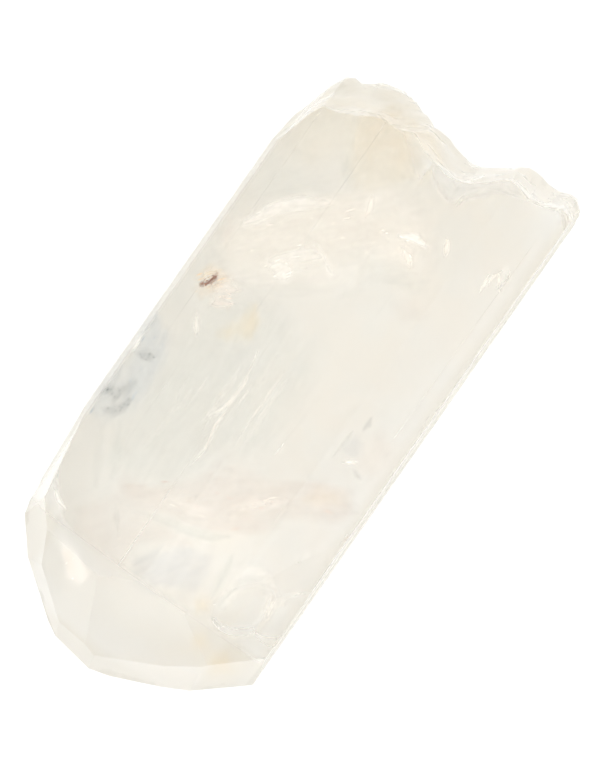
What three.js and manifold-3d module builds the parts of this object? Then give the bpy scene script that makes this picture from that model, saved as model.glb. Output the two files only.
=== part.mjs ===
// A single natural crystal of danburite: a long prism with a chisel-shaped tip at one end
// and a broken, shell-like fracture at the other. It lies on one of its prism faces.
//
// Frame, in millimetres: +Z is up, the prism runs along X with the natural tip at -X and the
// broken end at +X, and +Y is the left flank for someone who looks along -X from the broken end
// towards the tip. The origin is the middle of the footprint box, at the height it rests on.
//
// Every flat face is a plane given the way a geologist gives it: the bearing that it faces
// (degrees from the tip direction, positive to +Y), its dip (0 level and up, 90 upright,
// 180 level and down) and a point that it passes through.

import * as THREE from "three";
import { ImprovedNoise } from "three/addons/math/ImprovedNoise.js";
import { mergeVertices } from "three/addons/utils/BufferGeometryUtils.js";
import Module from "manifold-3d";

const wasm = await Module();
wasm.setup();
const noise = new ImprovedNoise();

// Driving dimensions.
const LENGTH = 45.0;
const WIDTH = 20.2;
const THICKNESS = 14.4;
const HALF_LENGTH = LENGTH / 2;
const HALF_WIDTH = WIDTH / 2;
const MID_HEIGHT = THICKNESS / 2;

// Heights of the widest line on each flank, above the resting face.
const LEFT_FLANK_HEIGHT = 9.6;
const RIGHT_FLANK_HEIGHT = 6.5;

// Dips of the prism faces around a level (110), from danburite's axial ratios 0.918 : 1 : 0.883.
const DIP_120 = 18.9;
const DIP_BAR120 = 76.0;
const DIP_110_FLANK = 85.1;

const LEFT = 90;
const RIGHT = -90;
const SLAB = 80;
const STOCK_MARGIN = 2;

const PRISM_FACES = {
  top: { bearing: RIGHT, dip: 0, through: [0, 0, THICKNESS] },
  topLeft: { bearing: LEFT, dip: DIP_120, through: [0, 0.3, THICKNESS] },
  leftShoulder: { bearing: LEFT, dip: DIP_BAR120, through: [0, HALF_WIDTH, LEFT_FLANK_HEIGHT] },
  leftFlank: { bearing: LEFT, dip: 180 - DIP_110_FLANK, through: [0, HALF_WIDTH, LEFT_FLANK_HEIGHT] },
  rightFlank: { bearing: RIGHT, dip: DIP_110_FLANK, through: [0, -HALF_WIDTH, RIGHT_FLANK_HEIGHT] },
  rightUndercut: { bearing: RIGHT, dip: 180 - DIP_110_FLANK, through: [0, -HALF_WIDTH, RIGHT_FLANK_HEIGHT] },
  bottomRight: { bearing: RIGHT, dip: 180 - DIP_120, through: [0, -5.0, 0] },
};

const TIP_FACES = {
  main: { bearing: 0, dip: 37, through: [-15.3, 0, THICKNESS] },
  leftSlope: { bearing: 25, dip: 46, through: [-16.4, 3.2, 13.4] },
  rightShoulder: { bearing: -60, dip: 22, through: [-15.3, -3.4, THICKNESS] },
  leftFront: { bearing: 35, dip: 75, through: [-20.2, 5.1, MID_HEIGHT] },
  leftMiddle: { bearing: 53, dip: 72, through: [-17.6, 8.1, MID_HEIGHT] },
  leftBack: { bearing: 81, dip: 80, through: [-13.7, 9.6, MID_HEIGHT] },
  point: { bearing: 12, dip: 70, through: [-21.9, 2.0, MID_HEIGHT] },
  rightFront: { bearing: -20, dip: 69, through: [-21.6, -2.4, MID_HEIGHT] },
  rightMiddle: { bearing: -26, dip: 69, through: [-20.6, -5.1, MID_HEIGHT] },
  rightBack: { bearing: -44, dip: 72, through: [-18.5, -8.1, MID_HEIGHT] },
  under: { bearing: 0, dip: 135, through: [-HALF_LENGTH, 0, MID_HEIGHT - 0.5] },
  underLeft: { bearing: 45, dip: 120, through: [-19.2, 6.9, MID_HEIGHT - 0.6] },
  underRight: { bearing: -30, dip: 122, through: [-20.9, -4.5, MID_HEIGHT - 0.4] },
};

const { top, topLeft, leftFlank, rightFlank } = PRISM_FACES;
const { rightShoulder } = TIP_FACES;

// Growth ledges: shallow steps that start from nothing at a point of a face, seen from above,
// and deepen along the prism. `run` is the length over which the step reaches its depth,
// towards the tip if negative, and `twist` the angle between the step and the prism, in degrees.
const LEDGES = [
  { face: topLeft, at: [4.0, 2.3], run: -18, depth: 0.11, twist: 0.8 },
  { face: topLeft, at: [-7.0, 4.2], run: 28, depth: 0.1, twist: 0.5 },
  { face: topLeft, at: [8.0, 6.6], run: -24, depth: 0.12, twist: 1.0 },
  { face: topLeft, at: [-13.0, 8.3], run: 34, depth: 0.13, twist: 0.4 },
  { face: top, at: [-9.0, -2.2], run: 30, depth: 0.06, twist: -0.9 },
  { face: top, at: [9.0, -5.0], run: -22, depth: 0.07, twist: -1.0 },
  { face: top, at: [-8.0, -8.0], run: 28, depth: 0.09, twist: -0.6 },
  { face: leftFlank, at: [12.0, 9.75], run: -28, depth: 0.14, twist: 1.2 },
  { face: leftFlank, at: [-10.0, 9.5], run: 28, depth: 0.11, twist: 0.8 },
  { face: rightFlank, at: [-14.0, -9.75], run: 34, depth: 0.12, twist: -1.0 },
];

// The broken end: how far it reaches along X at even steps from the left flank to the right one.
const BREAK_REACH = [
  15.4, 20.0, 21.0, 21.6, 21.7, 21.4, 21.1, 20.8, 20.4, 20.1, 21.0, 22.2, 22.2, 22.2, 22.5, 21.2,
];

// Shell-shaped hollows that the break left above and below its furthest line.
const SHELL_HOLLOWS = [
  { y: 7.2, z: 13.4, radius: 6.6, depth: 3.2 },
  { y: 0.2, z: 15.6, radius: 5.6, depth: 2.1 },
  { y: -6.6, z: 15.4, radius: 6.2, depth: 1.8 },
  { y: 3.4, z: 2.2, radius: 4.2, depth: 0.9 },
  { y: 8.5, z: -0.6, radius: 6.4, depth: 2.3 },
  { y: -2.5, z: -2.2, radius: 6.8, depth: 2.6 },
  { y: -9.0, z: 2.6, radius: 4.4, depth: 1.3 },
];
const RIPPLE_HEIGHT = 0.07;
const RIPPLE_SPACING = 1.7;
const SWELL = { height: 0.55, perMillimetre: 0.34 };
const HACKLE = { height: 0.22, perMillimetre: 0.9 };
const BREAK_GRID = 0.55;
const BREAK_DEPTH = 12;
const BREAK_MARGIN = 0.6;

// Chips where the crystal was knocked: a bowl sunk in a face, with rings like those in a shell.
// `stretch` lengthens it along the face's level line and `lean`, in degrees, sinks one side.
const CHIPS = [
  { face: rightShoulder, at: [-12.6, -6.2], radius: 1.9, depth: 0.5, rings: 2, stretch: 1.2, lean: 9 },
  { face: rightShoulder, at: [-11.4, -8.9], radius: 1.9, depth: 0.6, rings: 1.5, stretch: 1.3, lean: 16 },
  { face: topLeft, at: [3.6, 8.0], radius: 0.32, depth: 0.3, rings: 0, stretch: 1.6, lean: 0 },
  { face: top, at: [14.9, -7.5], radius: 0.7, depth: 0.16, rings: 1, stretch: 1.6, lean: 6 },
  { face: top, at: [4.4, -9.5], radius: 0.45, depth: 0.3, rings: 0, stretch: 2.2, lean: 20 },
  { face: top, at: [-5.6, -9.6], radius: 0.6, depth: 0.35, rings: 0, stretch: 1.8, lean: 24 },
];
const CHIP_SIDES = 24;
const CHIP_RINGS = 10;
const CHIP_RING_SHARE = 0.04;

/** Turns a closed three.js geometry into a solid that can be cut and joined. */
function solidOf(geometry) {
  const bare = geometry.clone();
  bare.deleteAttribute("normal");
  bare.deleteAttribute("uv");
  const merged = mergeVertices(bare);
  const corners = [];
  for (let i = 0; i < merged.index.count; i += 3) {
    const triangle = [0, 1, 2].map((k) => merged.index.getX(i + k));
    const isFlatOut = new Set(triangle).size < 3;
    if (!isFlatOut) corners.push(...triangle);
  }
  return new wasm.Manifold(
    new wasm.Mesh({
      numProp: 3,
      vertProperties: new Float32Array(merged.attributes.position.array),
      triVerts: new Uint32Array(corners),
    }),
  );
}

/** The axes of a face: its level line, the way down it, and its outward normal. */
function axesOf({ bearing, dip }) {
  const facing = THREE.MathUtils.degToRad(bearing);
  const tilt = THREE.MathUtils.degToRad(dip);
  const normal = new THREE.Vector3(
    -Math.sin(tilt) * Math.cos(facing),
    Math.sin(tilt) * Math.sin(facing),
    Math.cos(tilt),
  );
  const level = new THREE.Vector3(Math.sin(facing), Math.cos(facing), 0);
  const down = new THREE.Vector3().crossVectors(normal, level);
  return { level, down, normal };
}

/** The placement of a face's own frame at a point: level line, way down, outward. */
function frameAt(face, point) {
  const { level, down, normal } = axesOf(face);
  return new THREE.Matrix4().makeBasis(level, down, normal).setPosition(point);
}

/** The point of a face that is seen at [x, y] from above. */
function pointOn(face, [x, y]) {
  const { normal } = axesOf(face);
  const base = new THREE.Vector3(...face.through);
  const rise = (normal.x * (base.x - x) + normal.y * (base.y - y)) / normal.z;
  return new THREE.Vector3(x, y, base.z + rise);
}

/** All that is outside a face. */
function outside(face) {
  const slab = new THREE.BoxGeometry(SLAB, SLAB, SLAB).translate(0, 0, SLAB / 2);
  return solidOf(slab.applyMatrix4(frameAt(face, new THREE.Vector3(...face.through))));
}

/** What a growth ledge lacks: a slab beside its line, pitched so that it sinks into the face. */
function ledge({ face, at, run, depth, twist }) {
  const slab = new THREE.BoxGeometry(2 * LENGTH, WIDTH, WIDTH).translate(0, WIDTH / 2, WIDTH / 2);
  const sinksAlongLevel = Math.sign(run) * Math.sign(axesOf(face).level.x);
  slab.rotateY(sinksAlongLevel * Math.atan(depth / Math.abs(run)));
  slab.rotateZ(THREE.MathUtils.degToRad(twist));
  return solidOf(slab.applyMatrix4(frameAt(face, pointOn(face, at))));
}

/** An uneven surface of soft random waves, near zero on average. */
function waves({ height, perMillimetre }, y, z) {
  return height * noise.noise(y * perMillimetre, z * perMillimetre, 0);
}

/** How far the broken end reaches along X at a place of the cross-section. */
function breakReach(outline, y, z) {
  let hollow = 0;
  for (const shell of SHELL_HOLLOWS) {
    const distance = Math.hypot(y - shell.y, z - shell.z);
    const bowl = shell.depth * (1 - (distance / shell.radius) ** 2);
    const ripple = RIPPLE_HEIGHT * Math.cos((2 * Math.PI * distance) / RIPPLE_SPACING);
    hollow = Math.max(hollow, bowl + ripple);
  }
  const reach = outline.getPoint((HALF_WIDTH - y) / WIDTH).y;
  return reach - hollow + waves(SWELL, y, z) + waves(HACKLE, y, z);
}

/** All that is beyond the break: a block whose near side is the fracture surface. */
function beyondBreak() {
  const step = WIDTH / (BREAK_REACH.length - 1);
  const outline = new THREE.SplineCurve(
    BREAK_REACH.map((x, i) => new THREE.Vector2(HALF_WIDTH - step * i, x)),
  );
  const width = WIDTH + 2 * BREAK_MARGIN;
  const height = THICKNESS + 2 * BREAK_MARGIN;
  const block = new THREE.BoxGeometry(
    BREAK_DEPTH,
    width,
    height,
    1,
    Math.round(width / BREAK_GRID),
    Math.round(height / BREAK_GRID),
  );
  block.translate(HALF_LENGTH, 0, MID_HEIGHT);
  const position = block.attributes.position;
  for (let i = 0; i < position.count; i += 1) {
    if (position.getX(i) < HALF_LENGTH) {
      const y = THREE.MathUtils.clamp(position.getY(i), -HALF_WIDTH, HALF_WIDTH);
      position.setX(i, breakReach(outline, y, position.getZ(i)));
    }
  }
  return solidOf(block);
}

/** What a chip lacks: a bowl turned about the face's normal, closed by a lid above the face. */
function chip({ face, at, radius, depth, rings, stretch, lean }) {
  const profile = [];
  for (let i = 0; i <= CHIP_RINGS; i += 1) {
    const out = i / CHIP_RINGS;
    const ring = CHIP_RING_SHARE * depth * Math.sin(2 * Math.PI * rings * out);
    profile.push(new THREE.Vector2(radius * out, depth * (out ** 2 - 1) + ring));
  }
  profile.push(new THREE.Vector2(1.5 * radius, 2 * depth));
  profile.push(new THREE.Vector2(0, 2 * depth));
  const bowl = new THREE.LatheGeometry(profile, CHIP_SIDES);
  bowl.rotateX(Math.PI / 2);
  bowl.scale(stretch, 1, 1);
  bowl.rotateX(THREE.MathUtils.degToRad(-lean));
  return solidOf(bowl.applyMatrix4(frameAt(face, pointOn(face, at))));
}

/** The whole crystal: a block of stock with everything outside it cut away. */
function grow() {
  const stock = new THREE.BoxGeometry(LENGTH + 2 * STOCK_MARGIN, WIDTH + 2 * STOCK_MARGIN, THICKNESS);
  let solid = solidOf(stock.translate(0, 0, MID_HEIGHT));
  for (const face of Object.values({ ...PRISM_FACES, ...TIP_FACES })) {
    solid = solid.subtract(outside(face));
  }
  for (const step of LEDGES) solid = solid.subtract(ledge(step));
  for (const knock of CHIPS) solid = solid.subtract(chip(knock));
  return solid.subtract(beyondBreak());
}

const cut = grow().getMesh();
const geometry = new THREE.BufferGeometry();
geometry.setAttribute("position", new THREE.BufferAttribute(cut.vertProperties, 3));
geometry.setIndex(new THREE.BufferAttribute(cut.triVerts, 1));
geometry.computeBoundingBox();
const middle = geometry.boundingBox.getCenter(new THREE.Vector3());
geometry.translate(-middle.x, -middle.y, -geometry.boundingBox.min.z);
geometry.computeVertexNormals();

const danburite = new THREE.MeshStandardMaterial({ color: 0xf3eee2, roughness: 0.2, metalness: 0 });
const crystal = new THREE.Mesh(geometry, danburite);
crystal.name = "crystal";

const model = new THREE.Group();
model.add(crystal);
export default model;
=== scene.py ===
"""A natural danburite crystal, lying on a white table and seen from straight above.

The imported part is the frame: +Z is up, the prism runs along X with its natural tip at -X and its
broken end at +X. Blender works in metres, so sizes are written in millimetres times MM."""

import math
import random

import bmesh
import bpy
import numpy as np
from mathutils import Matrix, Vector, noise
from mathutils.bvhtree import BVHTree


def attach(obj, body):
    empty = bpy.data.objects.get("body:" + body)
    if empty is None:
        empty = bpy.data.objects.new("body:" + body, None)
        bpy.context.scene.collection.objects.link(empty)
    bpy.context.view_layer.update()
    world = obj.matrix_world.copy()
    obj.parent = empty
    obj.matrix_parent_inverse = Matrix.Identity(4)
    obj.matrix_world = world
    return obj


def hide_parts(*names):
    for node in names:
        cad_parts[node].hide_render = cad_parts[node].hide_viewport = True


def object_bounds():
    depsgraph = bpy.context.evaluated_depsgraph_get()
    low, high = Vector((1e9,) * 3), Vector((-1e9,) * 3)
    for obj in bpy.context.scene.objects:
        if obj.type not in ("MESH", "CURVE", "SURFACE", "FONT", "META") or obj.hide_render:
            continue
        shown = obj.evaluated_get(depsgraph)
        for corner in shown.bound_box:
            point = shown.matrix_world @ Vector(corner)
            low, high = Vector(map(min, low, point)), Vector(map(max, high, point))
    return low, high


MM = 0.001
random.seed(11)

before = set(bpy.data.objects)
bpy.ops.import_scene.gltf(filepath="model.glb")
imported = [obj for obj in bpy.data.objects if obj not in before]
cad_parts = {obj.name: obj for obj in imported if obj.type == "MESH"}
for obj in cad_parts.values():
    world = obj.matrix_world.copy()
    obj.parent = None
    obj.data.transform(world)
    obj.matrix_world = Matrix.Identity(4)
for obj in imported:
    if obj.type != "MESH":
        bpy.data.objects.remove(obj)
cad_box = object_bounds()
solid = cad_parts["crystal"]
TOP = cad_box[1][2]

# The picture: 600 x 776 pixels, looking straight down, with the prism leaning to the right. PIXEL
# is what a pixel shows at half the crystal's height.
PICTURE_HEIGHT = 776
PIXEL = 0.06787 * MM
PRISM_LEAN = math.radians(54.9)
PICTURE_CENTRE = (1.66 * MM, 0.48 * MM)
LENS = 200.0
SENSOR = 36.0


def add_camera():
    """The camera over the crystal, turned so that the prism leans as it should."""
    data = bpy.data.cameras.new("camera")
    data.lens = LENS
    data.sensor_width = SENSOR
    data.clip_start = 0.01
    camera = bpy.data.objects.new("camera", data)
    right = Vector((math.cos(PRISM_LEAN), -math.sin(PRISM_LEAN), 0))
    up = Vector((math.sin(PRISM_LEAN), math.cos(PRISM_LEAN), 0))
    centre = right * PICTURE_CENTRE[0] + up * PICTURE_CENTRE[1]
    distance = PICTURE_HEIGHT * PIXEL * LENS / SENSOR
    camera.location = (centre.x, centre.y, TOP / 2 + distance)
    camera.rotation_euler = (0, 0, -PRISM_LEAN)
    bpy.context.collection.objects.link(camera)
    bpy.context.scene.camera = camera


def new_material(name):
    """A material with an empty node tree and its output."""
    material = bpy.data.materials.new(name)
    material.use_nodes = True
    tree = material.node_tree
    tree.nodes.clear()
    return material, tree, tree.nodes.new("ShaderNodeOutputMaterial")


TABLE_SIZE = 3.0
TABLE_GAP = 0.02 * MM


def add_floor():
    """The plain white table, a hair below the crystal."""
    bpy.ops.mesh.primitive_plane_add(size=TABLE_SIZE, location=(0, 0, -TABLE_GAP))
    floor = bpy.context.object
    floor.name = "floor"
    material, tree, output = new_material("table")
    shader = tree.nodes.new("ShaderNodeBsdfDiffuse")
    shader.inputs["Color"].default_value = (1.0, 1.0, 1.0, 1)
    tree.links.new(shader.outputs[0], output.inputs["Surface"])
    floor.data.materials.append(material)


# The room has this colour at the horizon, and is white from this share of its height up.
HORIZON = (0.86, 0.87, 0.89, 1)
WHITE_FROM = 0.6
ROOM_STRENGTH = 1.22
LAMP_PLACE = (-0.3, 0.1, 0.8)
LAMP_SIZE = 0.6
LAMP_POWER = 1.0


def add_light():
    """A white room that is a little darker towards the horizon, and one broad soft lamp."""
    world = bpy.data.worlds.new("room")
    world.use_nodes = True
    tree = world.node_tree
    back = tree.nodes["Background"]
    where = tree.nodes.new("ShaderNodeTexCoord")
    split = tree.nodes.new("ShaderNodeSeparateXYZ")
    ramp = tree.nodes.new("ShaderNodeValToRGB")
    ramp.color_ramp.elements[0].position = 0.0
    ramp.color_ramp.elements[0].color = HORIZON
    ramp.color_ramp.elements[1].position = WHITE_FROM
    ramp.color_ramp.elements[1].color = (1, 1, 1, 1)
    tree.links.new(where.outputs["Generated"], split.inputs[0])
    tree.links.new(split.outputs["Z"], ramp.inputs[0])
    tree.links.new(ramp.outputs[0], back.inputs["Color"])
    back.inputs["Strength"].default_value = ROOM_STRENGTH
    bpy.context.scene.world = world
    lamp = bpy.data.lights.new("lamp", "AREA")
    lamp.shape = "DISK"
    lamp.size = LAMP_SIZE
    lamp.energy = LAMP_POWER
    light = bpy.data.objects.new("lamp", lamp)
    light.location = LAMP_PLACE
    light.rotation_euler = (-light.location).to_track_quat("-Z", "Y").to_euler()
    bpy.context.collection.objects.link(light)


def set_look():
    """White stays white, and light finds its way through several layers of crystal."""
    scene = bpy.context.scene
    scene.view_settings.view_transform = "Standard"
    scene.cycles.blur_glossy = 0.0
    scene.cycles.max_bounces = 32
    scene.cycles.diffuse_bounces = 12
    scene.cycles.glossy_bounces = 24
    scene.cycles.transmission_bounces = 24
    scene.cycles.transparent_max_bounces = 24


# The crystal's surface. Faces cut fine by a grid, then worn, ribbed and rippled.
GRID = (0.6 * MM, 0.17 * MM, 0.22 * MM)
WELD = 0.004 * MM
# The kinds of face: the small ones are curved, and a narrow long one is the riser of a ledge.
FLAT, CURVED, RISER = 0, 1, 2
CURVED_FACE = 0.45 * MM**2
NARROW_FACE = 0.25 * MM
LONG_FACE = 2 * MM
FLAT_ANGLE = math.radians(0.2)
EDGE_ANGLE = math.radians(14)
CURVED_EDGE_ANGLE = math.radians(38)
BREAK_FROM = 15 * MM
# Evening out: how far a vertex moves in a round, the rounds, and how far past its edge a ledge is
# widened, in vertices.
RELAX_SHARE = 0.6
CURVED_ROUNDS = 12
LEDGE_ROUNDS = 8
LEDGE_WIDTH = 2


def cut_by_grid(bm, low, high):
    """Cuts the faces by even planes along the three axes."""
    for axis in range(3):
        direction = Vector((0, 0, 0))
        direction[axis] = 1
        count = round((high[axis] - low[axis]) / GRID[axis])
        for i in range(1, count):
            place = direction * (low[axis] + (high[axis] - low[axis]) * i / count)
            everything = bm.verts[:] + bm.edges[:] + bm.faces[:]
            bmesh.ops.bisect_plane(bm, geom=everything, dist=WELD, plane_co=place, plane_no=direction)


def fine_mesh(source):
    """The part's own shape cut fine, with its small curved faces told from its flat ones."""
    mesh = source.data.copy()
    bm = bmesh.new()
    bm.from_mesh(mesh)
    bmesh.ops.remove_doubles(bm, verts=bm.verts, dist=WELD / 4)
    bmesh.ops.dissolve_limit(bm, angle_limit=FLAT_ANGLE, verts=bm.verts, edges=bm.edges)
    for face in bm.faces:
        longest = max(edge.calc_length() for edge in face.edges)
        if face.calc_area() / longest < NARROW_FACE and longest > LONG_FACE:
            face.material_index = RISER
        else:
            face.material_index = CURVED if face.calc_area() < CURVED_FACE else FLAT
    cut_by_grid(bm, cad_box[0], cad_box[1])
    bmesh.ops.triangulate(bm, faces=bm.faces)
    bmesh.ops.dissolve_degenerate(bm, dist=WELD / 2, edges=bm.edges)
    bmesh.ops.triangulate(bm, faces=bm.faces)
    # A vertex with fewer than three faces is loose, or on a doubled flap that the cuts left.
    flaps = [vert for vert in bm.verts if len(vert.link_faces) < 3]
    bmesh.ops.delete(bm, geom=flaps, context="VERTS")
    bm.to_mesh(mesh)
    bm.free()
    mesh.materials.clear()
    return mesh


def edge_ends(mesh):
    """The two vertices of every edge."""
    ends = np.empty(len(mesh.edges) * 2, int)
    mesh.edges.foreach_get("vertices", ends)
    return ends.reshape(-1, 2)


def relax(mesh, free, rounds):
    """Evens out the free vertices, each towards the middle of its neighbours."""
    places = np.empty(len(mesh.vertices) * 3)
    mesh.vertices.foreach_get("co", places)
    places = places.reshape(-1, 3)
    ends = edge_ends(mesh)
    count = np.bincount(ends.ravel(), minlength=len(places))[:, None]
    for _ in range(rounds):
        total = np.zeros_like(places)
        np.add.at(total, ends[:, 0], places[ends[:, 1]])
        np.add.at(total, ends[:, 1], places[ends[:, 0]])
        places[free] += RELAX_SHARE * (total / count - places)[free]
    mesh.vertices.foreach_set("co", places.ravel())


def soften(mesh):
    """Rounds the curved faces of the break and the chips, and eases the ledges and chip rims."""
    bm = bmesh.new()
    bm.from_mesh(mesh)
    curved = np.ones(len(bm.verts), bool)
    ledge = np.zeros(len(bm.verts), bool)
    pinned = np.zeros(len(bm.verts), bool)
    for vert in bm.verts:
        kinds = {face.material_index for face in vert.link_faces}
        curved[vert.index] = kinds == {CURVED}
        rim = len(kinds) > 1 and vert.co.x < BREAK_FROM
        ledge[vert.index] = RISER in kinds or rim
        for edge in vert.link_edges:
            between = {face.material_index for face in edge.link_faces}
            if between == {FLAT} and edge.calc_face_angle(0) > EDGE_ANGLE:
                pinned[vert.index] = True
    bm.free()
    ends = edge_ends(mesh)
    for _ in range(LEDGE_WIDTH):
        touched = ledge[ends].any(axis=1)
        ledge[ends[touched].ravel()] = True
    for face in mesh.polygons:
        if ledge[list(face.vertices)].any():
            face.material_index = RISER
    relax(mesh, curved, CURVED_ROUNDS)
    relax(mesh, ledge & ~pinned, LEDGE_ROUNDS)


# The depths below are in millimetres, and each is 0 or more: the surface is only ever cut back.
FLANK_RIBS = 0.035
TOP_RIBS = 0.012
SLOPE_RIBS = 0.016
SLOPE_RIBS_AT = -5.5
SLOPE_RIBS_REACH = 6.5
# The width and the length of the ribs.
BROAD_RIB = (1.3, 22)
NARROW_RIB = (0.5, 14)


def ribs(p, normal):
    """Fine growth ribs along the prism: strongest on the flanks, then on part of the slope."""
    across = (p.y * abs(normal.z) + p.z * abs(normal.y)) / MM
    along = p.x / MM
    broad = noise.noise((across / BROAD_RIB[0], along / BROAD_RIB[1], 2.0))
    narrow = noise.noise((across / NARROW_RIB[0], along / NARROW_RIB[1], 7.0))
    strength = FLANK_RIBS if abs(normal.y) > 0.7 else TOP_RIBS
    if normal.z > 0.9 and normal.y > 0.2:
        strength += SLOPE_RIBS * math.exp(-(((along - SLOPE_RIBS_AT) / SLOPE_RIBS_REACH) ** 2))
    return strength * (1 + 0.6 * broad + 0.4 * narrow)


def swell(p):
    """The faint unevenness of a natural face."""
    return 0.010 * (1 + noise.noise(p / (2.6 * MM))) + 0.004 * (1 + noise.noise(p / (0.9 * MM)))


# The break began at this Y and Z, and its ripples run round that point.
BREAK_START = (7.0, 13.0)
RIPPLE_STEP = 0.85
RIPPLE_DEPTH = 0.02
HACKLE_DEPTH = 0.05


def fracture(p):
    """Ripples and rough hackle on the break."""
    from_start = math.hypot(p.y / MM - BREAK_START[0], p.z / MM - BREAK_START[1])
    ripple = RIPPLE_DEPTH * (1 + math.sin(2 * math.pi * from_start / RIPPLE_STEP))
    rough = HACKLE_DEPTH * abs(noise.fractal(p / (1.1 * MM), 0.9, 2.2, 4))
    return ripple + rough


# Knocks are deeper along the prism than round its ends.
PRISM_REACH = 12 * MM
PRISM_KNOCKS = 0.12
END_KNOCKS = 0.02


def wear(p):
    """How far an edge is worn back: a little everywhere, more where it was knocked."""
    knock = noise.noise(p / (1.4 * MM)) - 0.25
    strength = PRISM_KNOCKS if abs(p.x) < PRISM_REACH else END_KNOCKS
    return 0.010 + 0.007 * noise.noise(p / (0.5 * MM)) + strength * max(0.0, knock)


def work_surface(mesh):
    """Moves the fine vertices inwards by ribs, swells, ripples and wear."""
    bm = bmesh.new()
    bm.from_mesh(mesh)
    bm.normal_update()
    inward = []
    for vert in bm.verts:
        kinds = {face.material_index for face in vert.link_faces}
        angles = [edge.calc_face_angle(0) for edge in vert.link_edges]
        normal = vert.normal
        if max(angles) > EDGE_ANGLE and kinds != {CURVED} and RISER not in kinds:
            depth = wear(vert.co)
        elif kinds == {CURVED} and vert.co.x > BREAK_FROM:
            depth = fracture(vert.co)
        elif abs(normal.x) < 0.15:
            depth = ribs(vert.co, normal)
        else:
            depth = swell(vert.co)
        inward.append(depth * MM)
    for vert, depth in zip(bm.verts, inward):
        vert.co -= vert.normal * depth
    bm.to_mesh(mesh)
    bm.free()


BREAK_FROST = 0.45
CHIP_FROST = 0.26


def mark_frost(mesh):
    """Keeps how rough the chips and the break are in their vertices."""
    bm = bmesh.new()
    bm.from_mesh(mesh)
    frost = bm.verts.layers.float.new("frost")
    for vert in bm.verts:
        if {face.material_index for face in vert.link_faces} == {CURVED}:
            vert[frost] = BREAK_FROST if vert.co.x > BREAK_FROM else CHIP_FROST
    bm.to_mesh(mesh)
    bm.free()


def mark_edges(mesh):
    """Shades the mesh smooth, with real edges kept sharp."""
    bm = bmesh.new()
    bm.from_mesh(mesh)
    for face in bm.faces:
        face.smooth = True
    for edge in bm.edges:
        kinds = {face.material_index for face in edge.link_faces}
        curved = kinds == {CURVED} or RISER in kinds
        limit = CURVED_EDGE_ANGLE if curved else EDGE_ANGLE
        edge.smooth = edge.calc_face_angle(0) < limit
    for face in bm.faces:
        face.material_index = 0
    bm.to_mesh(mesh)
    bm.free()


def make_crystal(source, material):
    """The crystal, which stands for the part's plain solid."""
    mesh = fine_mesh(source)
    soften(mesh)
    work_surface(mesh)
    mark_frost(mesh)
    mark_edges(mesh)
    mesh.materials.append(material)
    piece = bpy.data.objects.new("danburite_crystal", mesh)
    bpy.context.collection.objects.link(piece)
    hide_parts("crystal")
    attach(piece, "root")


def noise_node(tree, coordinates, scale, detail=4.0, roughness=0.5):
    """A noise texture over the given coordinates."""
    node = tree.nodes.new("ShaderNodeTexNoise")
    node.inputs["Scale"].default_value = scale
    node.inputs["Detail"].default_value = detail
    node.inputs["Roughness"].default_value = roughness
    tree.links.new(coordinates, node.inputs["Vector"])
    return node.outputs["Fac"]


def ranged(tree, value, low, high, to_low, to_high):
    """Maps a value from one range to another, clamped and eased."""
    node = tree.nodes.new("ShaderNodeMapRange")
    node.interpolation_type = "SMOOTHSTEP"
    for name, number in (
        ("From Min", low),
        ("From Max", high),
        ("To Min", to_low),
        ("To Max", to_high),
    ):
        node.inputs[name].default_value = number
    tree.links.new(value, node.inputs["Value"])
    return node.outputs["Result"]


def combined(tree, operation, first, second):
    """Two node values brought together by a sum, a product, the larger one and so on."""
    node = tree.nodes.new("ShaderNodeMath")
    node.operation = operation
    tree.links.new(first, node.inputs[0])
    tree.links.new(second, node.inputs[1])
    return node.outputs[0]


def mixed(tree, share, first, second):
    """Two colours mixed; the first may be the output of another node."""
    node = tree.nodes.new("ShaderNodeMix")
    node.data_type = "RGBA"
    tree.links.new(share, node.inputs["Factor"])
    if isinstance(first, tuple):
        node.inputs["A"].default_value = first
    else:
        tree.links.new(first, node.inputs["A"])
    node.inputs["B"].default_value = second
    return node.outputs["Result"]


def stretched(tree, coordinates, scale):
    """Coordinates scaled by axis."""
    node = tree.nodes.new("ShaderNodeMapping")
    node.inputs["Scale"].default_value = scale
    tree.links.new(coordinates, node.inputs["Vector"])
    return node.outputs["Vector"]


# The glass. A tint colours light at the surface and the absorption colours it inside. Scales and
# the density are per metre.
IOR = 1.63
CLEAR_TINT = (0.869, 0.863, 0.834, 1)
FLUSHED_TINT = (0.881, 0.858, 0.814, 1)
# Darker and warmer round the tip's outer rim; on the right flank the same tint is painted shade.
RIM_AND_SHADE_TINT = (0.80, 0.772, 0.703, 1)
ABSORPTION = (0.58, 0.56, 0.47, 1)
ABSORPTION_DENSITY = 3.0
ETCH_SCALE = 900.0
ETCH_STRETCH = (0.15, 1, 1)
ETCHED = (0.07, 0.20)
UNDERSIDE_FROST = 0.7
UNDERSIDE_SCALE = 300.0
TIP_FROST = 0.32
FLANK_FROST = 0.45
CLOUD_SCALE = 230.0


def squared(value):
    """A distance in millimetres, as the square in metres that the square of a coordinate meets."""
    return (value * MM) ** 2


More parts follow.
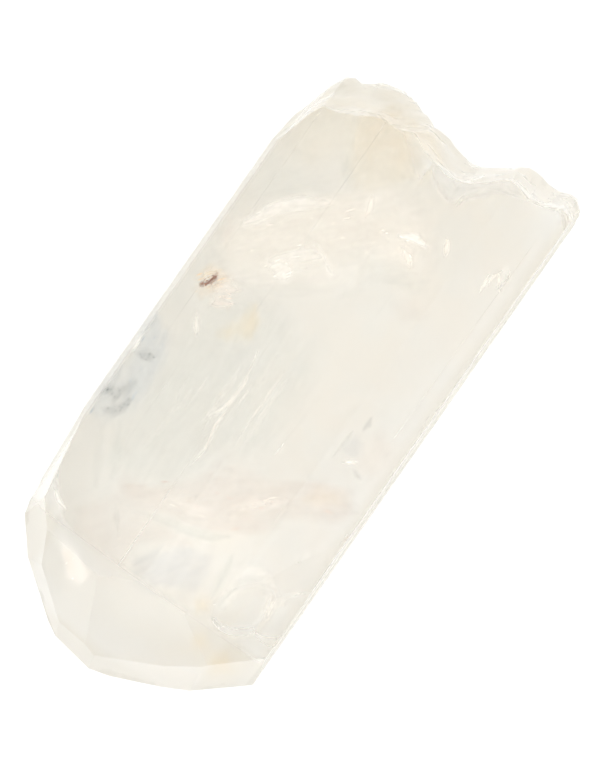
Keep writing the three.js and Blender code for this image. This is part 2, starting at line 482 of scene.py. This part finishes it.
def glass_roughness(tree, where, x, z, aside):
    """Finely etched faces, and frost underneath, on the tip, the flanks, the chips and the break."""
    etch = noise_node(tree, stretched(tree, where, ETCH_STRETCH), ETCH_SCALE)
    rough = ranged(tree, etch, 0.3, 0.7, *ETCHED)
    patches = noise_node(tree, where, UNDERSIDE_SCALE)
    uneven = ranged(tree, patches, 0.2, 0.8, -2.5 * MM, 2.5 * MM)
    height = combined(tree, "ADD", z, uneven)
    underside = ranged(tree, height, 3.5 * MM, 9.0 * MM, UNDERSIDE_FROST, 0.0)
    tip = ranged(tree, x, -15.6 * MM, -14.0 * MM, TIP_FROST, 0.0)
    flank = ranged(tree, aside, squared(9.2), squared(9.8), 0.0, FLANK_FROST)
    worked = tree.nodes.new("ShaderNodeAttribute")
    worked.attribute_name = "frost"
    for extra in (underside, tip, flank, worked.outputs["Fac"]):
        rough = combined(tree, "MAXIMUM", rough, extra)
    return rough


def glass_tint(tree, where, x, y, aside):
    """Ivory with a cloudy flush to the right, darker and warmer round the tip's outer rim, and with
    painted shade along the right flank.
    """
    cloudy = ranged(tree, noise_node(tree, where, CLOUD_SCALE, 3.0), 0.4, 0.6, 0.2, 1.0)
    flush = combined(tree, "MULTIPLY", cloudy, ranged(tree, y, 4 * MM, -5 * MM, 0.3, 1.0))
    fresh = mixed(tree, flush, CLEAR_TINT, FLUSHED_TINT)
    beside = ranged(tree, aside, squared(6.3), squared(7.3), 0.0, 1.0)
    outer = combined(tree, "MAXIMUM", beside, ranged(tree, x, -21.2 * MM, -20.2 * MM, 1.0, 0.0))
    front = combined(tree, "MULTIPLY", outer, ranged(tree, x, -15.5 * MM, -14.5 * MM, 1.0, 0.0))
    # Painted shade: the right flank is darkened where it would catch the bright table's light.
    right = ranged(tree, y, -9.5 * MM, -8.7 * MM, 0.8, 0.0)
    return mixed(tree, combined(tree, "MAXIMUM", front, right), fresh, RIM_AND_SHADE_TINT)


def danburite():
    """Clear, faintly ivory crystal, softly etched, frosted underneath, on its flanks and breaks."""
    material, tree, output = new_material("danburite")
    shader = tree.nodes.new("ShaderNodeBsdfPrincipled")
    shader.inputs["IOR"].default_value = IOR
    shader.inputs["Transmission Weight"].default_value = 1.0
    where = tree.nodes.new("ShaderNodeTexCoord").outputs["Object"]
    split = tree.nodes.new("ShaderNodeSeparateXYZ")
    tree.links.new(where, split.inputs[0])
    x, y, z = split.outputs
    aside = combined(tree, "MULTIPLY", y, y)
    tree.links.new(glass_roughness(tree, where, x, z, aside), shader.inputs["Roughness"])
    tree.links.new(glass_tint(tree, where, x, y, aside), shader.inputs["Base Color"])
    volume = tree.nodes.new("ShaderNodeVolumeAbsorption")
    volume.inputs["Color"].default_value = ABSORPTION
    volume.inputs["Density"].default_value = ABSORPTION_DENSITY
    tree.links.new(shader.outputs[0], output.inputs["Surface"])
    tree.links.new(volume.outputs[0], output.inputs["Volume"])
    return material


# Flaws inside the crystal. Their outlines are seen from above, in millimetres. A flaw stays
# CLEARANCE above the underside, and below the top too where it has a level of its own. One that
# follows the surface stays SKIN below it.
CLEARANCE = 0.3
SKIN = 0.15
walls = BVHTree.FromPolygons(
    [vert.co / MM for vert in solid.data.vertices], [face.vertices for face in solid.data.polygons]
)


def room(x, y):
    """The heights of the crystal's underside and top at a place."""
    up, down = Vector((0, 0, 1)), Vector((0, 0, -1))
    low = walls.ray_cast(Vector((x, y, -1)), up)[0]
    high = walls.ray_cast(Vector((x, y, TOP / MM + 1)), down)[0]
    if low is None or high is None:
        return None
    return low.z, high.z


# Streaks in the layers: share, length and width.
STREAKS = ((1.0, 4.0, 0.9), (0.6, 1.9, 0.34), (0.3, 1.3, 0.16))


class Flaw:
    """A thin layer inside the crystal: a healed crack, a film of bubbles or a stain, or a white film
    that paints a highlight.

    `level` is the height of its middle and `lean` its rise per millimetre along X and along Y;
    with `under` it follows the surface at that depth instead. `fade` is the width of its soft
    rim, `solid` its cover between the streaks, `torn` the strength of the streaks and `grain`
    their angle to the prism, in degrees."""

    def __init__(
        self, name, outline, level=0, lean=(0, 0), under=None, fade=0.8, grain=0.0, solid=0.7, torn=0.6
    ):
        self.name = name
        self.outline = outline
        self.level = level
        self.lean = lean
        self.under = under
        self.fade = fade
        self.grain = math.radians(grain)
        self.solid = solid
        self.torn = torn
        self.seed = sum(outline[0]) * 0.37 + level
        self.middle = [sum(point[axis] for point in outline) / len(outline) for axis in range(2)]
        turned = [self.to_grain(*point) for point in outline]
        self.low = [min(point[axis] for point in turned) - fade / 2 for axis in range(2)]
        self.high = [max(point[axis] for point in turned) + fade / 2 for axis in range(2)]

    def to_grain(self, x, y):
        """How far a place is along the grain and across it."""
        cos, sin = math.cos(self.grain), math.sin(self.grain)
        return x * cos + y * sin, y * cos - x * sin

    def from_grain(self, along, across):
        """The place that is so far along the grain and across it."""
        cos, sin = math.cos(self.grain), math.sin(self.grain)
        return along * cos - across * sin, along * sin + across * cos

    def depth_inside(self, x, y):
        """How far a place is inside the outline; negative outside."""
        inside = False
        nearest = math.inf
        for (ax, ay), (bx, by) in zip(self.outline, self.outline[1:] + self.outline[:1]):
            if (ay > y) != (by > y) and x < ax + (bx - ax) * (y - ay) / (by - ay):
                inside = not inside
            share = ((x - ax) * (bx - ax) + (y - ay) * (by - ay)) / ((bx - ax) ** 2 + (by - ay) ** 2)
            share = min(1, max(0, share))
            away = math.hypot(x - ax - share * (bx - ax), y - ay - share * (by - ay))
            nearest = min(nearest, away)
        return nearest if inside else -nearest

    def cover(self, x, y):
        """How much of the light the layer stops at a place, from 0 to 1."""
        along, across = self.to_grain(x, y)
        bend = 0.25 * math.sin(along / 2.3 + self.seed)
        streaks = 0
        for share, length, width in STREAKS:
            streaks += share * noise.noise((along / length, (across + bend) / width, self.seed))
        frayed = self.depth_inside(x, y) / self.fade + 0.5 + 0.5 * self.torn * streaks
        rim = min(1, max(0, frayed))
        return rim * rim * (3 - 2 * rim) * min(1, max(0, self.solid + self.torn * streaks))

    def place(self, x, y):
        """The point of the layer at a place, kept inside the crystal."""
        dx, dy = x - self.middle[0], y - self.middle[1]
        low, high = room(x, y)
        if self.under is None:
            wave = 0.3 * noise.noise((x / 2.4, y / 2.4, self.seed))
            height = min(high - CLEARANCE, self.level + self.lean[0] * dx + self.lean[1] * dy + wave)
        else:
            height = high - self.under
        return Vector((x, y, min(high - SKIN, max(low + CLEARANCE, height))))

    def anywhere(self):
        """A random place in the box around the outline."""
        return self.from_grain(*[random.uniform(low, high) for low, high in zip(self.low, self.high)])


# The widest steps of a sheet's grid, along its grain and across it.
SHEET_STEP = (0.35, 0.08)


def wisp(name, line, width, **more):
    """A flaw that follows a line of points and runs out to a point at both ends."""
    left, right = [], []
    for i, (x, y) in enumerate(line):
        before, after = line[max(0, i - 1)], line[min(len(line) - 1, i + 1)]
        dx, dy = after[0] - before[0], after[1] - before[1]
        half = width / 2 * (1 if 0 < i < len(line) - 1 else 0.1) / math.hypot(dx, dy)
        left.append((x - dy * half, y + dx * half))
        right.append((x + dy * half, y - dx * half))
    run = math.atan2(line[-1][1] - line[0][1], line[-1][0] - line[0][0])
    more = {"fade": width * 0.6, "grain": math.degrees(run), "solid": 0.9, "torn": 0.35} | more
    return Flaw(name, left + right[::-1], **more)


def film(flaw, material, strength):
    """The layer as a sheet, finest across its grain, whose cover is kept in its vertices."""
    steps = [min(step, flaw.fade * share) for step, share in zip(SHEET_STEP, (1, 0.4))]
    counts = [math.ceil((high - low) / step) for low, high, step in zip(flaw.low, flaw.high, steps)]
    bm = bmesh.new()
    cover = bm.verts.layers.float.new("cover")
    grid = {}
    for i in range(counts[0] + 1):
        for j in range(counts[1] + 1):
            x, y = flaw.from_grain(flaw.low[0] + i * steps[0], flaw.low[1] + j * steps[1])
            if flaw.depth_inside(x, y) > -flaw.fade and room(x, y):
                vert = bm.verts.new(flaw.place(x, y) * MM)
                vert[cover] = strength * flaw.cover(x, y)
                grid[i, j] = vert
    for i in range(counts[0]):
        for j in range(counts[1]):
            corners = [grid.get(key) for key in ((i, j), (i + 1, j), (i + 1, j + 1), (i, j + 1))]
            if None not in corners and any(vert[cover] > 0 for vert in corners):
                bm.faces.new(corners).smooth = True
    loose = [vert for vert in bm.verts if not vert.link_faces]
    bmesh.ops.delete(bm, geom=loose, context="VERTS")
    add_flaw(flaw.name + "_film", bm, material)


FLAKE_THINNESS = 0.06


def speckle(flaw, material, count, size, stretch):
    """The layer as tiny flat flakes along its grain, thickest where its cover is."""
    bm = bmesh.new()
    made = 0
    while made < count:
        x, y = flaw.anywhere()
        if not room(x, y) or random.random() > flaw.cover(x, y):
            continue
        made += 1
        width = random.uniform(*size)
        length = width * random.uniform(*stretch)
        turn = Matrix.Rotation(flaw.grain + random.gauss(0, 0.12), 4, "Z")
        roll = Matrix.Rotation(random.gauss(0, 0.12), 4, "X")
        tilt = roll @ Matrix.Rotation(random.gauss(0, 0.05), 4, "Y")
        at = Matrix.Translation(flaw.place(x, y) + Vector((0, 0, random.gauss(0, 0.04))))
        add_flake(bm, at @ turn @ tilt, length, width)
    bmesh.ops.scale(bm, vec=(MM, MM, MM), verts=bm.verts)
    add_flaw(flaw.name + "_flakes", bm, material)


def add_flake(bm, matrix, length, width):
    """A flake pointed at both ends: a flattened double pyramid."""
    thick = FLAKE_THINNESS * width
    tips = [Vector((length / 2, 0, 0)), Vector((-length / 2, 0, 0))]
    waist = [Vector((0, y, z)) for y, z in ((width / 2, 0), (0, thick), (-width / 2, 0), (0, -thick))]
    ends = [bm.verts.new(matrix @ tip) for tip in tips]
    ring = [bm.verts.new(matrix @ point) for point in waist]
    for i in range(4):
        following = ring[(i + 1) % 4]
        bm.faces.new((ends[0], ring[i], following))
        bm.faces.new((ends[1], following, ring[i]))


def add_flaw(name, bm, material):
    """A flaw rides with the crystal."""
    mesh = bpy.data.meshes.new(name)
    bm.to_mesh(mesh)
    bm.free()
    mesh.materials.append(material)
    piece = bpy.data.objects.new(name, mesh)
    bpy.context.collection.objects.link(piece)
    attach(piece, "root")


FLAKE_ROUGHNESS = 0.35
FILM_ROUGHNESS = 0.5
TEAR_SCALE = 2200.0


def flake_material(name, colour, shine, roughness=FLAKE_ROUGHNESS):
    """The stuff of flakes, grains and needles; gas films shine as metal does."""
    material, tree, output = new_material(name)
    shader = tree.nodes.new("ShaderNodeBsdfPrincipled")
    shader.inputs["Base Color"].default_value = (*colour, 1)
    shader.inputs["Roughness"].default_value = roughness
    shader.inputs["Metallic"].default_value = shine
    tree.links.new(shader.outputs[0], output.inputs["Surface"])
    return material


def film_material(name, colour, shine):
    """The same as a film that stops as much light as its vertices say, torn finely by noise."""
    material = flake_material(name, colour, shine, FILM_ROUGHNESS)
    tree = material.node_tree
    cover = tree.nodes.new("ShaderNodeAttribute")
    cover.attribute_name = "cover"
    where = tree.nodes.new("ShaderNodeTexCoord").outputs["Object"]
    torn = ranged(tree, noise_node(tree, where, TEAR_SCALE, 5.0, 0.6), 0.35, 0.65, 0.85, 1.0)
    alpha = combined(tree, "MULTIPLY", cover.outputs["Fac"], torn)
    tree.links.new(alpha, tree.nodes["Principled BSDF"].inputs["Alpha"])
    return material


# What the flaws are made of: a colour, and 1 where it shines as a film of gas does.
KINDS = {
    "white": ((1.0, 0.975, 0.94), 1.0),
    "cream": ((1.0, 0.955, 0.90), 1.0),
    "blush": ((0.94, 0.855, 0.78), 1.0),
    "pink": ((0.74, 0.575, 0.495), 1.0),
    "gold": ((0.88, 0.785, 0.60), 1.0),
    "orange": ((0.90, 0.70, 0.46), 1.0),
    "amber": ((1.0, 0.73, 0.27), 1.0),
    "haze": ((0.60, 0.635, 0.59), 1.0),
    "blue": ((0.40, 0.44, 0.54), 1.0),
    "grey": ((0.46, 0.55, 0.65), 1.0),
    "slate": ((0.18, 0.20, 0.21), 1.0),
    "brown": ((0.30, 0.12, 0.06), 0.0),
}


# The strength of a soft film. In renders, films from about 0.25 up showed their rims as thin lines.
SOFT = 0.24
FIBRES = 16


def break_stains(layer):
    """The iron stain beside the break."""
    wash = [(21.4, 4.8), (20.2, 7.8), (18.2, 9.2), (14.2, 9.3), (14.0, 6.8)]
    wash += [(15.8, 5.4), (15.0, 3.6), (16.6, 0.4), (20.2, 1.4)]
    flaw = Flaw("iron_wash", wash, 9.8, (-0.1, 0.05), fade=2.2, grain=-25, torn=0.15)
    layer(flaw, "gold", SOFT)
    stain = [(20.6, 4.8), (20.4, 2.2), (19.0, 0.4), (17.6, -0.2)]
    stain += [(15.4, 1.8), (14.2, 3.2), (15.2, 4.3), (18.4, 5.9)]
    flaw = Flaw("iron_stain", stain, 10.6, (-0.1, 0.05), fade=0.7, grain=25, solid=0.8, torn=0.2)
    layer(flaw, "gold", SOFT)
    heart = [(20.2, 4.8), (19.4, 2.6), (18.4, 1.2), (17.2, 1.6)]
    heart += [(17.6, 3.2), (16.2, 3.6), (16.8, 4.8), (18.8, 5.6)]
    layer(Flaw("iron_heart", heart, 11.4, (-0.1, 0.05), fade=1.3, grain=-60, torn=0.3), "orange", 0.15)
    layer(wisp("break_slit", [(16.0, 5.2), (15.2, 4.5), (14.1, 3.7)], 0.7, level=11.0), "haze", 0.22)


def veil(layer):
    """A broad cream veil in three layers, flushed pink in its middle, with bright wisps."""
    outline = [(8.0, 8.5), (10.1, 7.2), (12.5, 4.6), (15.3, 1.3), (15.0, -0.9), (14.0, -2.6)]
    outline += [(12.2, -2.8), (11.4, 0.0), (9.4, 0.2), (7.4, 2.2), (5.5, 4.8), (5.0, 7.6), (6.6, 8.8)]
    for i, level in enumerate((9.8, 10.6, 11.4)):
        flaw = Flaw(f"veil_{i}", outline, level, (0.2, 0.1), fade=2.2, grain=-45, solid=0.9, torn=0.4)
        layer(flaw, "cream", SOFT, 8)
    flush = [(13.3, 2.9), (13.5, 0.6), (12.6, -0.6), (11.2, 1.0), (10.8, 2.8), (12.0, 3.9)]
    layer(Flaw("veil_flush", flush, 11.6, (0.2, 0.1), fade=1.4, grain=-50, torn=0.4), "pink", 0.08)
    edge = [(8.4, 8.2), (10.3, 7.0), (11.5, 5.7), (12.6, 4.2)]
    layer(wisp("veil_edge", edge, 0.9, level=11.6, fade=0.8, torn=0.5), "white", 0.65, 4)
    streak = [(6.6, 5.8), (7.6, 4.6), (8.7, 3.6), (9.4, 2.6)]
    layer(wisp("veil_streak", streak, 1.7, level=11.8, fade=1.0, torn=0.5), "white", 0.75, 6)
    core = [(9.9, 4.2), (9.4, 2.8), (8.8, 1.2)]
    layer(wisp("veil_core", core, 1.1, level=11.4, fade=0.9, torn=0.6), "white", 0.55)
    low = [(6.4, 5.7), (7.5, 5.0), (7.5, 3.9), (6.7, 3.7)]
    layer(Flaw("veil_low", low, 11.9, fade=0.7, grain=-35, solid=0.9), "white", 0.6, 8)
    end = [(13.4, -0.6), (13.9, -1.6), (13.8, -2.6)]
    layer(wisp("veil_end", end, 0.6, level=12.0, torn=0.5), "white", 0.8, 8)
    horn = [(14.6, 2.1), (13.8, 1.7), (13.0, 1.6)]
    layer(wisp("veil_horn", horn, 0.4, level=11.8), "cream", 0.7)
    claw = [(12.9, -1.2), (12.6, -2.0), (12.1, -2.5)]
    layer(wisp("veil_claw", claw, 0.5, level=12.0), "cream", 0.7, 8)
    near = [(15.1, -3.4), (14.6, -3.7), (14.0, -4.0)]
    layer(wisp("near_wisp", near, 0.4, level=11.8), "cream", 0.8, 6)
    upper_far = ((15.6, -7.6), (14.6, -7.1), (13.4, -7.2))
    lower_far = ((15.3, -7.3), (14.8, -7.9), (14.2, -8.3))
    for i, line in enumerate((upper_far, lower_far)):
        layer(wisp(f"far_wisp_{i}", line, 0.3, level=11.8), "cream", 0.7, 4)
    shade = [(13.3, 6.9), (13.1, 5.2), (11.4, 6.6), (10.2, 7.7), (10.6, 8.8), (12.6, 8.6)]
    layer(Flaw("upper_shade", shade, 10.4, fade=1.2, grain=-40, torn=0.35), "haze", 0.12)
    notch = [(12.3, -2.2), (12.1, -3.9), (10.8, -3.8), (10.2, 0.2), (11.2, -0.2)]
    layer(Flaw("veil_notch", notch, 10.2, fade=0.9, grain=-60), "haze", 0.14)
    tan = [(10.7, -4.2), (9.8, -5.2), (8.9, -4.2), (9.5, -3.2)]
    layer(Flaw("tan_spot", tan, 11.0, fade=1.2, grain=-45, torn=0.4), "pink", 0.11)


def left_side(layer):
    """Rust beside the veil, and the blue-grey inclusions at the left edge."""
    speck = [(4.4, 7.9), (4.2, 7.6), (3.7, 7.7), (3.1, 8.2), (3.2, 8.45), (3.8, 8.1)]
    flaw = Flaw("rust_speck", speck, under=0.4, fade=0.2, grain=-30, solid=1)
    layer(flaw, "brown", 0.8, 24, (0.05, 0.16), (1, 2.5))
    halo = [(4.7, 8.4), (4.6, 7.2), (3.2, 7.2), (2.3, 7.6), (2.7, 8.5), (3.6, 8.8)]
    layer(Flaw("rust_halo", halo, under=0.6, fade=0.6, grain=-40), "orange", 0.5, 8)
    bloom = [(5.0, 6.7), (4.3, 5.9), (2.9, 5.8), (2.6, 6.8), (3.6, 7.4), (4.6, 7.4)]
    layer(Flaw("rust_bloom", bloom, under=0.9, fade=0.8, grain=-60), "blush", 0.6, 8)
    patch = [(4.0, 4.3), (3.4, 3.4), (2.1, 3.5), (1.1, 4.5), (1.2, 5.3), (2.4, 4.8)]
    layer(Flaw("rust_patch", patch, under=1.6, fade=0.9, grain=20, torn=0.4), "amber", SOFT)
    edge = [(7.9, 9.1), (7.2, 8.5), (6.2, 8.2), (6.5, 8.9)]
    layer(Flaw("edge_rust", edge, under=0.8, fade=0.7, grain=10), "pink", 0.16)
    layer(wisp("left_wisp", [(1.7, 7.4), (0.9, 6.9), (0.2, 6.4)], 0.5, under=1.2), "cream", 0.5)
    cloud = [(-0.3, 9.5), (-0.7, 8.2), (-1.8, 7.4), (-4.8, 7.2), (-7.4, 7.3)]
    cloud += [(-8.2, 8.2), (-7.8, 9.4), (-5.0, 9.6), (-2.0, 9.6)]
    layer(Flaw("grey_cloud", cloud, under=1.6, fade=1.0, grain=10, solid=0.8), "grey", SOFT, 10)
    arcs = [((-4.6, 8.1), (-5.4, 8.3), (-6.2, 8.6), (-6.9, 8.4))]
    arcs += [((-5.7, 7.6), (-6.5, 7.7), (-7.2, 8.1), (-7.4, 8.8))]
    arcs += [((-5.8, 9.0), (-6.2, 9.3), (-6.5, 9.5)), ((-2.2, 8.0), (-2.7, 8.3), (-2.9, 9.0))]
    for i, line in enumerate(arcs):
        flaw = wisp(f"slate_arc_{i}", line, 0.7, under=1.2, torn=0.8, solid=0.9)
        layer(flaw, "slate", SOFT, 10, (0.03, 0.08), (1, 5))
    # Painted highlight: a white film just under the left edge, where that edge shows a glint.
    layer(wisp("edge_glint", [(-1.8, 9.7), (-2.3, 9.6), (-3.0, 9.4)], 0.3, under=0.5), "white", 0.9)


def middle(layer):
    """Haze, fibres and needles along the prism."""
    silk = [(2.8, 6.8), (4.8, 3.6), (4.4, 0.2), (2.6, -1.4), (-0.4, -1.9), (-3.2, -1.4)]
    silk += [(-5.2, 0.2), (-8.4, 1.6), (-10.0, 3.2), (-9.8, 6.2), (-5.0, 7.2)]
    layer(Flaw("silk", silk, 10.2, (0, -0.12), fade=1.8, grain=1, solid=0.7, torn=0.25), "haze", SOFT)
    for i in range(FIBRES):
        x, y, run = random.uniform(-1, 2.5), random.uniform(-0.4, 6.2), random.uniform(1.5, 4.5)
        x -= max(0, y - 1) * 0.9
        halfway = (x - run / 2, y + random.gauss(0, 0.06))
        line = ((x, y), halfway, (x - run, y + random.gauss(0, 0.12)))
        fibre = wisp(f"fibre_{i}", line, random.uniform(0.15, 0.4), level=11.8)
        layer(fibre, "cream", random.uniform(0.12, SOFT))
    long_needle = ((1.8, 2.5), (-0.6, 1.95), (-2.4, 2.1), (-3.7, 2.6))
    next_needle = ((-2.0, 2.0), (-4.0, 1.95), (-5.6, 1.6), (-7.0, 1.8))
    for i, line in enumerate((long_needle, next_needle)):
        layer(wisp(f"needle_{i}", line, 0.2, level=12.6), "cream", 0.7)
    sheaf = (((-7.4, 7.3), (-9.0, 6.4), (-11.2, 5.4)), ((-8.4, 8.3), (-10.4, 6.9), (-12.0, 6.2)))
    for i, line in enumerate(sheaf):
        layer(wisp(f"sheaf_{i}", line, 0.8, level=10.5, torn=0.6, solid=0.6), "haze", 0.22)


def right_side(layer):
    """A small crack with its glints."""
    lens = [(1.0, -5.8), (0.6, -6.5), (-0.2, -7.0), (-0.7, -6.3), (-0.3, -5.8)]
    layer(Flaw("side_crack", lens, 12.2, (0.2, 0.1), fade=0.5, grain=-60, solid=0.9), "blue", 0.12)
    glint = [(-1.1, -6.2), (-0.8, -6.6), (-0.5, -7.0)]
    layer(wisp("side_glint", glint, 0.3, level=12.6), "white", 1.0, 6)
    layer(wisp("side_line", [(1.0, -5.6), (0.2, -5.6), (-1.2, -5.5)], 0.3, level=12.4), "haze", SOFT)
    dots = (((2.5, -6.1), (2.0, -6.2), (1.4, -6.1)), ((-1.0, -7.1), (-1.2, -7.5), (-1.3, -7.9)))
    for i, line in enumerate(dots):
        layer(wisp(f"side_dot_{i}", line, 0.35, level=12.4), "slate", 0.2)
    glow = [(2.2, -7.0), (1.2, -8.7), (-1.0, -8.4), (-0.8, -7.2)]
    layer(Flaw("side_flush", glow, 11.0, fade=1.2, grain=-20, torn=0.3), "pink", 0.13)


def healed_crack(layer):
    """The flesh-coloured healed crack across the prism, with its slits, lenses and lobe."""
    band = [(-2.5, -7.8), (-2.9, -6.0), (-4.8, -3.4), (-5.5, -0.2), (-7.8, 0.7)]
    band += [(-9.9, 2.9), (-10.1, 4.8), (-11.0, 4.4), (-11.2, 2.8), (-10.3, -0.8)]
    band += [(-9.4, -2.4), (-8.4, -4.1), (-6.0, -5.8), (-4.6, -8.2), (-3.4, -8.8)]
    flaw = Flaw("healed_crack", band, 10.0, (0.2, 0.12), fade=0.9, grain=-56, solid=0.8, torn=0.35)
    layer(flaw, "pink", SOFT, 10)
    ember = [(-2.8, -7.2), (-3.3, -8.6), (-4.4, -7.0), (-4.6, -5.6), (-3.5, -5.9)]
    layer(Flaw("healed_ember", ember, 11.4, fade=1.0, grain=-56), "orange", SOFT)
    lenses = (((-5.4, -4.6), (-6.6, -3.2), (-7.8, -2.0)), ((-8.8, -1.0), (-9.4, 0.2), (-9.9, 1.4)))
    for i, line in enumerate(lenses):
        layer(wisp(f"healed_lens_{i}", line, 0.9, level=11.6), "cream", 0.3, 4)
    slit = [(-11.6, 2.9), (-11.1, 1.2), (-10.6, -0.8), (-10.2, -1.9), (-9.5, -2.9)]
    layer(wisp("long_slit", slit, 0.6, level=11.8), "haze", SOFT)
    lobe = [(-11.3, 2.9), (-11.3, -1.3), (-12.3, 0.0), (-13.9, 1.6), (-15.4, 0.9), (-16.4, 2.4)]
    lobe += [(-15.7, 3.9), (-15.2, 5.4), (-14.0, 6.4), (-12.0, 5.0), (-10.4, 4.9), (-10.9, 3.6)]
    flaw = Flaw("healed_lobe", lobe, 10.6, (0.1, 0.1), fade=0.9, grain=-35, solid=0.8, torn=0.25)
    layer(flaw, "pink", 0.17)
    layer(wisp("lobe_slit", [(-12.0, 4.3), (-12.8, 3.8), (-13.8, 2.9)], 0.45, level=11.8), "haze", SOFT)


def tip(layer):
    """The blue patch, the loop beside the chips, the rust in the corner, and painted highlights: the
    white glint on the tip and its paler band.
    """
    blue = [(-11.7, -0.8), (-11.3, -2.7), (-12.2, -3.2), (-13.7, -3.1)]
    blue += [(-15.0, -0.8), (-15.2, 0.5), (-14.4, 0.9)]
    layer(Flaw("blue_patch", blue, 11.4, fade=0.6, grain=-30, solid=0.8, torn=0.4), "blue", SOFT)
    loop = [(-13.6, -5.0), (-12.2, -4.9), (-11.2, -4.8), (-10.5, -5.4)]
    loop += [(-10.2, -6.4), (-10.6, -7.2), (-11.6, -7.7), (-13.0, -8.2)]
    layer(wisp("loop", loop, 0.7, level=12.0, torn=0.6), "cream", SOFT)
    loop_glint = [(-11.0, -7.4), (-11.8, -7.7), (-12.6, -8.0)]
    layer(wisp("loop_glint", loop_glint, 0.4, level=12.4), "white", 0.4)
    loop_shade = [(-10.3, -3.8), (-11.6, -4.1), (-13.5, -4.3)]
    layer(wisp("loop_shade", loop_shade, 0.5, level=11.6), "haze", 0.22)
    corner = [(-15.2, -7.6), (-15.8, -9.0), (-17.4, -8.7), (-18.2, -7.2)]
    corner += [(-17.4, -4.6), (-15.6, -4.6), (-16.2, -6.4)]
    layer(Flaw("corner_wash", corner, under=0.3, fade=1.2, grain=30, torn=0.4), "gold", SOFT)
    spots = {"corner_rust": ((-16.7, -7.4), 0.8, SOFT)}
    spots |= {"corner_spot": ((-16.2, -5.2), 0.6, 0.18), "loop_spot": ((-14.2, -4.1), 0.5, 0.18)}
    for name, ((x, y), size, strength) in spots.items():
        diamond = [(x + size, y), (x, y + size), (x - size, y), (x, y - size)]
        layer(Flaw(name, diamond, under=0.2, fade=0.8, grain=30, torn=0.4), "amber", strength)
    # Painted highlight: white films just under the tip's face stand for the glint off that face and the
    # paler band below it.
    glint = [(-16.1, 5.8), (-16.3, 4.4), (-16.8, 3.3), (-17.7, 3.3), (-18.0, 4.3), (-17.0, 5.3)]
    layer(Flaw("tip_glint", glint, under=0.2, fade=0.3, grain=-20, solid=1), "white", 1.0, 10)
    streak = [(-15.9, 6.0), (-16.6, 5.4), (-17.5, 4.4)]
    layer(wisp("tip_glint_streak", streak, 0.7, under=0.2), "white", 1.0, 6)
    shine = [(-17.0, 4.8), (-17.0, 3.0), (-19.0, 2.0), (-21.6, 0.6), (-21.8, 1.8), (-20.4, 3.6)]
    layer(Flaw("tip_shine", shine, under=0.4, fade=1.6, grain=-30, torn=0.3), "white", SOFT)
    layer(wisp("left_glint", [(-13.6, 8.4), (-14.1, 7.7), (-14.3, 6.9)], 0.3, under=0.8), "white", 0.8)


def add_flaws():
    """The healed cracks, films and stains, and painted highlights, from the broken end to the tip."""
    films = {name: film_material(name + "_film", *kind) for name, kind in KINDS.items()}
    flakes = {name: flake_material(name + "_flakes", *kind) for name, kind in KINDS.items()}

    def layer(flaw, kind, strength, count=0, size=(0.03, 0.08), stretch=(3, 12)):
        """A flaw as a film, and with a count also as flakes, whose width and slimness are ranges."""
        film(flaw, films[kind], strength)
        if count:
            speckle(flaw, flakes[kind], count, size, stretch)

    for section in (break_stains, veil, left_side, middle, right_side, healed_crack, tip):
        section(layer)


add_camera()
set_look()
add_floor()
add_light()
make_crystal(solid, danburite())
add_flaws()
